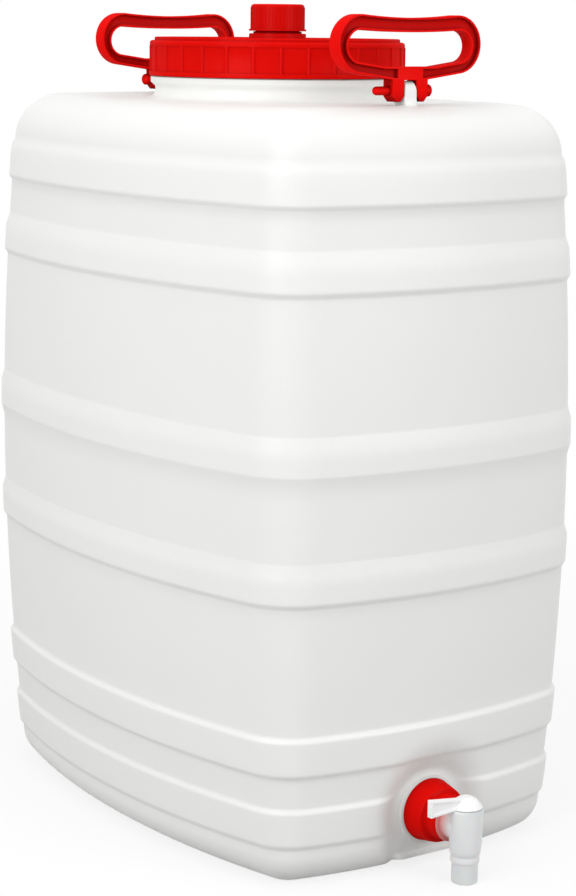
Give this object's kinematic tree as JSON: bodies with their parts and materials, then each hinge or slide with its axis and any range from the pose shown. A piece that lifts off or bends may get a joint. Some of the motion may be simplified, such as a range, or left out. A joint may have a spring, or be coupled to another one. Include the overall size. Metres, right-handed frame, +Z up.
{
  "type": "plastic drum",
  "caption": "Blow-moulded plastic drum with banded bulging sides, a wide ribbed screw lid with a vent cap, two swinging carrying handles and an outlet tap low on one narrow side.",
  "frame": {"origin": "Centre of the ring that the drum stands on, below the axis of the lid.", "axes": "+Z is up, out of the neck. The tap is on the narrow side that faces -Y. +X is to the right when facing the tap side."},
  "size_m": [0.3274, 0.4759, 0.6095],
  "materials": {
    "natural_plastic": "semi-gloss, slightly translucent",
    "red_plastic": "gloss",
    "dark_red_plastic": "semi-gloss",
    "white_plastic": "semi-gloss",
    "clear_plastic": "translucent",
    "white_rubber": "matte",
    "black_rubber": "matte"
  },
  "bodies": {
    "drum": {"drum_body": "natural_plastic", "front_handle_pin": "dark_red_plastic", "rear_handle_pin": "dark_red_plastic", "outlet_gasket": "white_rubber", "outlet_adapter": "red_plastic", "tap_body": "clear_plastic", "tap_gasket": "white_rubber"},
    "lid_seal": {"lid_gasket": "white_rubber"},
    "lid": {"screw_lid": "red_plastic"},
    "cap_seal": {"vent_cap_seal": "white_rubber"},
    "cap": {"vent_cap": "red_plastic"},
    "handle_front": {"front_handle": "dark_red_plastic"},
    "handle_rear": {"rear_handle": "dark_red_plastic"},
    "key": {"tap_key": "white_plastic", "key_ring_upper": "black_rubber", "key_ring_lower": "black_rubber"}
  },
  "joints": [
    {"name": "lid_lift", "type": "slide", "parent": "drum", "child": "lid_seal", "axis": [0, 0, 1], "range_m": [0, 0.0271]},
    {"name": "lid_turn", "type": "hinge", "parent": "lid_seal", "child": "lid", "pos_m": [0, 0, 0.5773], "axis": [0, 0, 1], "range_deg": [0, 1080]},
    {"name": "vent_cap_lift", "type": "slide", "parent": "lid", "child": "cap_seal", "axis": [0, 0, 1], "range_m": [0, 0.0181]},
    {"name": "vent_cap_turn", "type": "hinge", "parent": "cap_seal", "child": "cap", "pos_m": [0, 0, 0.6053], "axis": [0, 0, 1], "range_deg": [0, 1080]},
    {"name": "front_handle_swing", "type": "hinge", "parent": "drum", "child": "handle_front", "pos_m": [0, -0.157, 0.5504], "axis": [1, 0, 0], "range_deg": [-90, 95]},
    {"name": "rear_handle_swing", "type": "hinge", "parent": "drum", "child": "handle_rear", "pos_m": [0, 0.157, 0.5504], "axis": [-1, 0, 0], "range_deg": [-90, 95]},
    {"name": "tap_key_turn", "type": "hinge", "parent": "drum", "child": "key", "pos_m": [0, -0.243, 0.0413], "axis": [0, 0, 1], "range_deg": [0, 90]}
  ],
  "couplings": [
    {"joint": "lid_lift", "follows": "lid_turn", "m_per_rad": 0.0014324},
    {"joint": "vent_cap_lift", "follows": "vent_cap_turn", "m_per_rad": 0.00095493}
  ]
}
